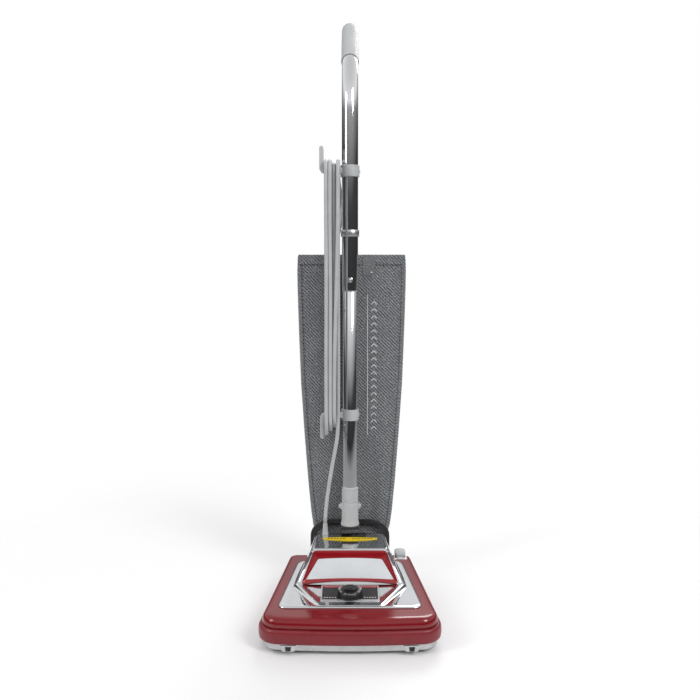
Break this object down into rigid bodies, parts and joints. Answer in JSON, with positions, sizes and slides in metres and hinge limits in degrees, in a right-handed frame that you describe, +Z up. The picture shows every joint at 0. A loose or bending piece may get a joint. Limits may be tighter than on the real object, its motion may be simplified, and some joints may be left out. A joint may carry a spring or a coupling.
{
  "type": "upright vacuum cleaner",
  "caption": "Upright vacuum cleaner: low red base with chrome motor hood, tilting chrome tube handle with curved grip, cloth dust bag and a mains lead wound on two hooks.",
  "frame": {"origin": "on the floor, under the middle of the machine's overall width and depth, measured without the mains lead", "axes": "+Z up, +X to the right seen from the front, the front of the base faces -Y and the grip points to +Y"},
  "size_m": [0.353, 0.5318, 1.2715],
  "materials": {
    "red_gloss": "high gloss moulded red",
    "red_vinyl": "satin soft vinyl",
    "steel": "zinc plated",
    "black_steel": "black enamelled",
    "chrome": "mirror plated",
    "lens_frosted": "frosted, fine ribs",
    "black_plastic": "fine grain",
    "label_yellow": "printed film",
    "bulb_glass": "clear",
    "cast_aluminium": "as cast",
    "copper_winding": "varnished wire",
    "roll_wood": "turned, sealed",
    "bristle_nylon": "tufted bristle",
    "belt_rubber": "matt",
    "tyre_rubber": "matt",
    "bag_cloth": "twill weave",
    "grey_plastic": "satin moulded",
    "grip_vinyl": "satin vinyl",
    "cord_jacket": "satin PVC jacket"
  },
  "bodies": {
    "base": {"base_housing": "red_gloss", "lens_frame": "red_gloss", "furniture_guard": "red_vinyl", "bottom_plate": "steel", "front_bearing": "steel", "rear_bearing": "steel", "rear_axle": "steel", "pedal_spring": "steel", "bail_pin_right": "steel", "bail_pin_left": "steel", "bag_clamp": "steel", "motor_hood": "chrome", "headlight_lens": "lens_frosted", "height_plate": "black_plastic", "switch_box": "black_plastic", "roll_bearing_right": "black_plastic", "roll_bearing_left": "black_plastic", "hood_label_strip": "label_yellow", "headlight_bulb": "bulb_glass", "bulb_holder": "cast_aluminium", "fan_housing": "cast_aluminium", "motor_casing": "cast_aluminium", "exhaust_duct": "cast_aluminium", "motor_stator": "copper_winding", "drive_belt": "belt_rubber", "bag_neck": "bag_cloth", "strain_relief": "cord_jacket"},
    "handle": {"handle_bail": "black_steel", "handle_socket": "grey_plastic", "socket_bolt": "steel", "handle_collar": "grey_plastic", "lower_tube": "chrome", "upper_tube": "chrome", "handle_grip": "grip_vinyl", "upper_cord_hook": "grey_plastic", "lower_cord_hook": "grey_plastic", "bag_hanger": "steel", "dust_bag": "bag_cloth", "cord_hank": "cord_jacket", "mains_plug": "cord_jacket", "cord_tail": "cord_jacket"},
    "snap_button": {"tube_snap_button": "steel"},
    "height_knob": {"height_knob": "black_plastic"},
    "front_carriage": {"front_carriage": "steel"},
    "front_wheel_left": {"front_wheel_left": "tyre_rubber"},
    "front_wheel_right": {"front_wheel_right": "tyre_rubber"},
    "rear_wheel_left": {"rear_wheel_left": "tyre_rubber"},
    "rear_wheel_right": {"rear_wheel_right": "tyre_rubber"},
    "motor_rotor": {"motor_shaft": "steel", "armature": "copper_winding", "fan": "cast_aluminium"},
    "brush_roll": {"brush_roll": "roll_wood", "bristle_strip_right_a": "bristle_nylon", "bristle_strip_right_b": "bristle_nylon", "bristle_strip_left_a": "bristle_nylon", "bristle_strip_left_b": "bristle_nylon"},
    "foot_switch": {"foot_switch": "black_plastic"},
    "release_pedal": {"release_pedal": "grey_plastic"},
    "plate_latch_left": {"plate_latch_left": "steel"},
    "plate_latch_right": {"plate_latch_right": "steel"}
  },
  "joints": [
    {"name": "handle_tilt", "type": "hinge", "parent": "base", "child": "handle", "pos_m": [0, 0.03408, 0.062], "axis": [-1, 0, 0], "range_deg": [0, 75], "deforming": ["bag_neck"]},
    {"name": "snap_button_press", "type": "slide", "parent": "handle", "child": "snap_button", "axis": [0, 0.9986, -0.0523], "range_m": [0, 0.003], "stiffness_N_per_m": 500, "springref_m": -0.004},
    {"name": "height_knob_turn", "type": "hinge", "parent": "base", "child": "height_knob", "pos_m": [0, -0.1689, 0.07832], "axis": [0, -0.0835, 0.9965], "range_deg": [0, 270]},
    {"name": "carriage_tilt", "type": "hinge", "parent": "base", "child": "front_carriage", "pos_m": [0, -0.13792, 0.024], "axis": [1, 0, 0], "range_deg": [0, 8]},
    {"name": "front_wheel_left_spin", "type": "hinge", "parent": "front_carriage", "child": "front_wheel_left", "pos_m": [-0.05, -0.17391, 0.015], "axis": [1, 0, 0], "continuous": true},
    {"name": "front_wheel_right_spin", "type": "hinge", "parent": "front_carriage", "child": "front_wheel_right", "pos_m": [0.05, -0.17391, 0.015], "axis": [1, 0, 0], "continuous": true},
    {"name": "rear_wheel_left_spin", "type": "hinge", "parent": "base", "child": "rear_wheel_left", "pos_m": [-0.1185, 0.02408, 0.03], "axis": [1, 0, 0], "continuous": true},
    {"name": "rear_wheel_right_spin", "type": "hinge", "parent": "base", "child": "rear_wheel_right", "pos_m": [0.1185, 0.02408, 0.03], "axis": [1, 0, 0], "continuous": true},
    {"name": "rotor_spin", "type": "hinge", "parent": "base", "child": "motor_rotor", "pos_m": [0, -0.06592, 0.0595], "axis": [0, 1, 0], "continuous": true},
    {"name": "brush_roll_spin", "type": "hinge", "parent": "base", "child": "brush_roll", "pos_m": [0, -0.22142, 0.031], "axis": [1, 0, 0], "continuous": true},
    {"name": "foot_switch_rock", "type": "hinge", "parent": "base", "child": "foot_switch", "pos_m": [0.017, -0.01942, 0.1433], "axis": [1, 0, 0], "range_deg": [0, 8]},
    {"name": "release_pedal_press", "type": "hinge", "parent": "base", "child": "release_pedal", "pos_m": [0.114, 0.04208, 0.0625], "axis": [-1, 0, 0], "range_deg": [0, 10], "stiffness_Nm_per_rad": 0.6, "springref_deg": -8.59, "deforming": ["pedal_spring"]},
    {"name": "plate_latch_left_flip", "type": "hinge", "parent": "base", "child": "plate_latch_left", "pos_m": [-0.117, -0.25992, 0.0104], "axis": [1, 0, 0], "range_deg": [0, 70]},
    {"name": "plate_latch_right_flip", "type": "hinge", "parent": "base", "child": "plate_latch_right", "pos_m": [0.117, -0.25992, 0.0104], "axis": [1, 0, 0], "range_deg": [0, 70]}
  ],
  "couplings": [
    {"joint": "carriage_tilt", "follows": "height_knob_turn", "ratio": 0.029629},
    {"joint": "brush_roll_spin", "follows": "rotor_spin", "ratio": 0.516}
  ]
}
